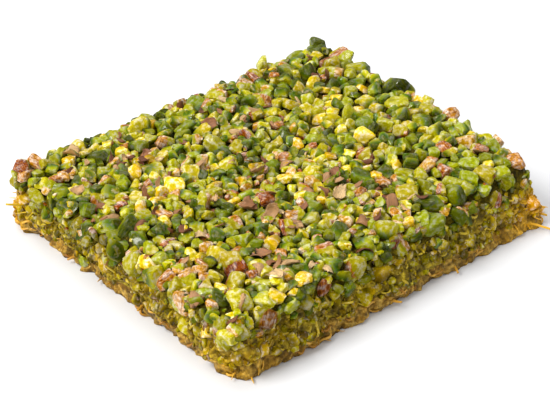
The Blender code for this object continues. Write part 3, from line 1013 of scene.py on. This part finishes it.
def tinted(tree, mottle, stops):
    """The colour of a strand or flake by its tint, a little mottled."""
    shifted = math_node(tree, "ADD", attribute(tree, "tint"), math_node(tree, "MULTIPLY", mottle, 0.5))
    return ramp(tree, math_node(tree, "SUBTRACT", shifted, 0.25), stops)


def wired(made, inputs):
    """The material, once its shader has its inputs."""
    feed(made.node_tree, made.node_tree.nodes["Principled BSDF"], inputs)
    return made


def new_material(name, roughness, coat, specular):
    made = bpy.data.materials.new(name)
    made.use_nodes = True
    gloss = {"Roughness": roughness, "Specular IOR Level": specular}
    wired(made, {**gloss, "Coat Weight": coat, "Coat Roughness": COAT_ROUGHNESS})
    return made, made.node_tree


def kernel_material(name, colours, skin_start, wet):
    """A cut kernel: pale inside, greener towards its outer side, which streaked skin may cover."""
    heart, flesh, rim, skin, streak = colours
    made, tree = new_material(name, roughness=0.36, coat=0, specular=0.04)
    grain = attribute(tree, "grain", "Vector")
    tint, buried = attribute(tree, "tint"), attribute(tree, "buried")
    mottle, fine = noise_node(tree, grain, 0.9), noise_node(tree, grain, 3.5, detail=4)
    streaks = streaked(tree, grain, (0.5, 2.6, 2.6), 1.2, roughness=0.65)
    ragged = math_node(tree, "ADD", attribute(tree, "skin"), math_node(tree, "MULTIPLY", mottle, 0.9))
    ragged = math_node(tree, "SUBTRACT", ragged, 0.45)
    inside = ramp(tree, ragged, [(0.0, heart), (0.35, flesh), (0.75, rim)])
    paler = math_node(tree, "ADD", streaks, math_node(tree, "MULTIPLY", tint, 0.2))
    outside = ramp(tree, paler, [(0.42, skin), (0.7, streak)])
    past_edge = math_node(tree, "SUBTRACT", ragged, skin_start)
    covered = math_node(tree, "MULTIPLY", past_edge, 12.0, clamp=True)
    varied = adjusted(
        tree,
        warmed(tree, mix(tree, covered, inside, outside)),
        Hue=mapped(tree, tint, 0.48, 0.52),
        Saturation=mapped(tree, mottle, 1.6, 0.5, start=0.35, end=0.65),
        Value=mapped(tree, mottle, 0.62, 1.38, start=0.3, end=0.7),
    )
    syrup = mapped(tree, noise_node(tree, grain, 0.7), 0.0, wet, start=0.46, end=0.6)
    # Painted shade: buried darkens the colour and thins the coat, for shade and shaded reflections in
    # the heap's gaps; on side chunks it is also their real paste coat
    bare = math_node(tree, "SUBTRACT", 1.0, math_node(tree, "MULTIPLY", buried, 2.0, clamp=True))
    height = math_node(tree, "ADD", fine, math_node(tree, "MULTIPLY", streaks, 0.7))
    inputs = {
        "Base Color": darkened(tree, varied, buried, GAP_SHADE),
        "Coat Weight": math_node(tree, "MULTIPLY", syrup, bare),
        "Normal": bump(tree, height, strength=0.7, distance=0.45),
    }
    return wired(made, inputs)


def flake_material(name, stops):
    """Papery skin: one of a few colours by flake, streaked lengthwise."""
    made, tree = new_material(name, roughness=0.45, coat=0.05, specular=0.3)
    grain = attribute(tree, "grain", "Vector")
    streaks = streaked(tree, grain, (0.45, 2.4, 2.4), 1.3, roughness=0.7)
    lines = mapped(tree, streaks, 0.0, 1.0, start=0.4, end=0.68)
    inputs = {
        "Base Color": darkened(tree, tinted(tree, streaks, stops), lines, 0.4),
        "Normal": bump(tree, streaks, strength=0.6, distance=0.3),
    }
    return wired(made, inputs)


def strand_material(name, stops):
    """Pastry strands soaked in syrup, each its own colour and a little mottled."""
    made, tree = new_material(name, roughness=0.34, coat=0.15, specular=0.3)
    place = node(tree, "ShaderNodeTexCoord").outputs["Object"]
    inputs = {
        "Base Color": warmed(tree, tinted(tree, noise_node(tree, place, 700), stops)),
        "Normal": bump(tree, noise_node(tree, place, 1800), strength=0.4, distance=0.2),
    }
    return wired(made, inputs)


def matrix_material(name, stops, scale, relief, coat=0.06, specular=0.15):
    """Pastry shreds and ground nut stuck together, in colours by bit. Scale is bits to a metre."""
    made, tree = new_material(name, 0.4, coat, specular)
    place = node(tree, "ShaderNodeTexCoord").outputs["Object"]
    bits, bit_share = cells(tree, place, scale)
    grains, grain_share = cells(tree, place, scale * GRAIN_FINER)
    broad = noise_node(tree, place, scale * 0.45, detail=4)
    fine = noise_node(tree, place, scale * 2.5, detail=4)
    blend = 0.0
    for value, share in ((bit_share, 0.3), (grain_share, 0.35), (broad, 0.5)):
        blend = math_node(tree, "ADD", math_node(tree, "MULTIPLY", value, share), blend)
    light = mapped(tree, fine, 0.5, 1.27, start=0.32, end=0.62)
    varied = adjusted(tree, warmed(tree, ramp(tree, blend, stops)), Value=light)
    pits = math_node(tree, "MULTIPLY", grains, -1.0)
    height = math_node(tree, "ADD", math_node(tree, "ADD", fine, pits), bits)
    # Darker where hollow: painted shade in the crevices of the cut sides and over the bed between the
    # kernels
    inputs = {
        "Base Color": darkened(tree, varied, attribute(tree, "hollow"), GAP_SHADE),
        "Normal": bump(tree, height, strength=0.8, distance=relief),
    }
    return wired(made, inputs)


# Cores of the three layers


def side_relief(point):
    """Finer crumb of the cut side: how far it stands out, and how hollow it is from 0 to 1."""
    distances, _ = noise.voronoi(point / CRUMB_SIZE)
    crumb = (CELL_MIDDLE - distances[0]) * CELL_DEPTH + noise.noise(point / FINE_SIZE) * FINE_DEPTH
    return crumb, min(max(HOLLOW_START - HOLLOW_SLOPE * crumb, 0), 1)


def fine_side_point(angle, height, width=1.0):
    """Point of the cut side, narrowed to a share of its width, and how hollow it is there."""
    point = side_point(angle, height)
    crumb, hollow = side_relief(point)
    plan = (point.xy + point.xy.normalized() * crumb) * width
    return Vector((plan.x, plan.y, height)), hollow


def ring_levels(low, high, count):
    """Rings from low to high as (height, width), drawn in a little at both ends."""
    made = []
    for height in np.linspace(low, high, count):
        near = min(height - low, high - height)
        made.append((height, 1 - EDGE_DRAW * (1 - smooth_step(near / EDGE_ROUND))))
    return made


def side_rings(levels, columns):
    """Points of the cut side through (height, width) rings, and how hollow it is at each."""
    angles = even_angles(columns)
    return [fine_side_point(angle, height, width) for height, width in levels for angle in angles]


def core(name, found, columns, surface, slot):
    """One piece through rings of points, each point with how hollow it is."""
    points, hollows = zip(*found)
    faces = ring_faces(len(points) // columns, columns)
    return piece(name, surface, slot, points, faces, {"hollow": hollows})


def band(name, levels, surface, slot):
    """The craggy side of a layer through (height, width) rings, closed at its top and bottom."""
    low, high = levels[0][0], levels[-1][0]
    levels = [(low, share) for share in CAP_SHARES] + levels
    levels += [(high, share) for share in reversed(CAP_SHARES)]
    return core(name, side_rings(levels, SIDE_COLUMNS), SIDE_COLUMNS, surface, slot)


def topping_core(surface):
    """The bed under the chopped pistachios, whose bumps hardly show between them."""
    found = side_rings(ring_levels(FILLING_TOP, BED_SHOULDER, BED_SIDE_RINGS), BED_COLUMNS)
    rim = [point.xy for point, _ in found[-BED_COLUMNS:]]
    for share in np.linspace(*BED_SHARES, BED_RINGS):
        for plan in rim:
            spot = Vector((*(plan * share), 0))
            relief = noise.noise(spot / CRUMB_SIZE) * BED_RELIEF
            spot.z = bed_height(spot.x, spot.y) + relief
            # The bed counts as nearly all hollow, so its olive colour is darkened as painted shade
            # between the kernels
            found.append((spot, BED_HOLLOW - relief / 2))
    return core("pistachio_bed", found, BED_COLUMNS, surface, "pistachio")


# Lights, floor and camera


def area_light(name, place, size, power, tone):
    light = bpy.data.lights.new(name, "AREA")
    light.size, light.energy, light.color = size, power, tone
    made = add_object(name, light)
    made.location = place
    made.rotation_euler = (-Vector(place)).to_track_quat("-Z", "Y").to_euler()


def studio():
    """A white floor and surroundings, a large soft light at the upper left and a weaker one above."""
    bpy.ops.mesh.primitive_plane_add(size=FLOOR_SIDE_M, location=(0, 0, FLOOR_LEVEL_M))
    floor = bpy.context.object
    floor.name = "floor"
    white, _ = new_material("white_floor", roughness=0.9, coat=0, specular=0.1)
    floor.data.materials.append(wired(white, {"Base Color": FLOOR_COLOUR}))
    world = bpy.data.worlds.new("white_room")
    bpy.context.scene.world = world
    world.use_nodes = True
    background = world.node_tree.nodes["Background"]
    feed(world.node_tree, background, {"Color": ROOM_COLOUR, "Strength": ROOM_STRENGTH})
    for light in LIGHTS:
        area_light(*light)


def camera():
    azimuth, elevation = math.radians(AZIMUTH), math.radians(ELEVATION)
    level = math.cos(elevation)
    back = Vector((math.sin(azimuth) * level, -math.cos(azimuth) * level, math.sin(elevation)))
    right = Vector((math.cos(azimuth), math.sin(azimuth), 0))
    up = back.cross(right)
    place = Vector((0, 0, AIM_HEIGHT)) + back * DISTANCE - right * AIM_RIGHT - up * AIM_UP
    data = bpy.data.cameras.new("camera")
    data.lens, data.sensor_width, data.clip_start = LENS, SENSOR, CLIP_START_M
    made = add_object("camera", data)
    made.location = place * MM
    made.rotation_mode = "QUATERNION"
    made.rotation_quaternion = (-back).to_track_quat("-Z", "Y")
    bpy.context.scene.camera = made


# The object


def neighbour_kind(chunk):
    """Kind of the notable kernel that a large chunk lies on, if any."""
    for x, y, kind in PLACED_KINDS:
        if math.hypot(chunk.place[0] - x, chunk.place[1] - y) < NEIGHBOUR_REACH:
            return kind
    return None


def sort_kinds(chunks):
    """Chunks by kind. Those that have none yet are dealt out among the kinds."""
    rng = random.Random(KIND_SEED)
    kinds = {kind: [] for kind in KIND_SHARES}
    for chunk, kind in chunks:
        dealt = rng.choices(list(KIND_SHARES), list(KIND_SHARES.values()))[0]
        near = neighbour_kind(chunk) if chunk.size > NEIGHBOUR_SIZE else None
        if near and not kind:
            chunk.skin_side = skin_side(near)
        kinds[kind or near or dealt].append(chunk)
    return kinds


def build_topping(ceiling):
    # The bed's own olive colour, darkened nearly to black as painted shade in the gaps between the
    # kernels
    bed = matrix_material("wet_bed_with_painted_shade", BED_COLOURS, 500, relief=0.8, coat=0.03, specular=0.05)
    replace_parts(topping_core(bed), "chopped_pistachios")
    chunks, ground = topping_chunks(TOPPING_COUNT)
    chunks += notable_side_chunks()
    plain = side_chunks(falling_sizes(*RIM_SIZES), *RIM_CHUNKS)
    plain += side_chunks(even_sizes(*MORE_RIM_SIZES), *MORE_RIM_CHUNKS)
    plain += strewn_chunks(ground, *GRIT)
    chunks += [(chunk, None) for chunk in plain]
    for kind, members in sort_kinds(chunks).items():
        surface = kernel_material(f"{kind}_kernel", KERNEL_COLOURS[kind], SKIN_STARTS[kind], KERNEL_WET)
        join_chunks(f"{kind}_kernels", members, surface, "pistachio", ceiling, ground)
    flakes = strewn_chunks(ground, *FLAKES)
    skin = flake_material("papery_skin", FLAKE_COLOURS)
    join_flakes("skin_flakes", flakes, skin, "pistachio", ceiling)


def build_filling(ceiling):
    surface = matrix_material("filling", FILLING_COLOURS, 420, relief=0.6, coat=0.03)
    levels = ring_levels(BASE_TOP, TOPPING_LOW, FILLING_RINGS)
    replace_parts(band("filling", levels, surface, "pistachio_filling"), "pistachio_filling")
    chunks = side_chunks(falling_sizes(*FILLING_SIZES), *FILLING_CHUNKS)
    chunks += side_chunks(even_sizes(*FILLING_CRUMB_SIZES), *FILLING_CRUMBS)
    crumb = kernel_material("filling_crumb", CRUMB_COLOURS, CRUMB_SKIN_START, CRUMB_WET)
    join_chunks("filling_crumbs", chunks, crumb, "pistachio_filling", ceiling)
    tubes = loose_tubes(strands(*FILLING_STRANDS) + list(OUTERMOST_FILLING))
    tubes += tuft_tubes(TUFT_SEED + 1, FILLING_TUFTS, FILLING_LOW, FILLING_TOP)
    tubes += lying_tubes(*FILLING_SHREDS)
    shreds = strand_material("filling_shred", FILLING_SHRED_COLOURS)
    join_tubes("filling_shreds", tubes, shreds, "pistachio_filling")


def build_base():
    surface = matrix_material("toasted_pastry", BASE_COLOURS, 450, relief=0.5)
    levels = ring_levels(0, FILLING_LOW, BASE_RINGS)
    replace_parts(band("toasted_base", levels, surface, "shredded_pastry"), "kadayif_base")
    tubes = loose_tubes(strands(*BASE_STRANDS) + list(OUTERMOST_BASE))
    tubes += tuft_tubes(TUFT_SEED, BASE_TUFTS, 0, BASE_TOP)
    tubes += lying_tubes(*BASE_SHREDS)
    shreds = strand_material("toasted_shred", BASE_SHRED_COLOURS)
    join_tubes("base_shreds", tubes, shreds, "shredded_pastry")


def main():
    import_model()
    solid_box = [list(corner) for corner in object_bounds()]
    ceiling = solid_box[1][2] / MM + TOP_ROOM
    camera()
    studio()
    bpy.context.scene.view_settings.view_transform = "Standard"
    build_topping(ceiling)
    build_filling(ceiling)
    build_base()


main()
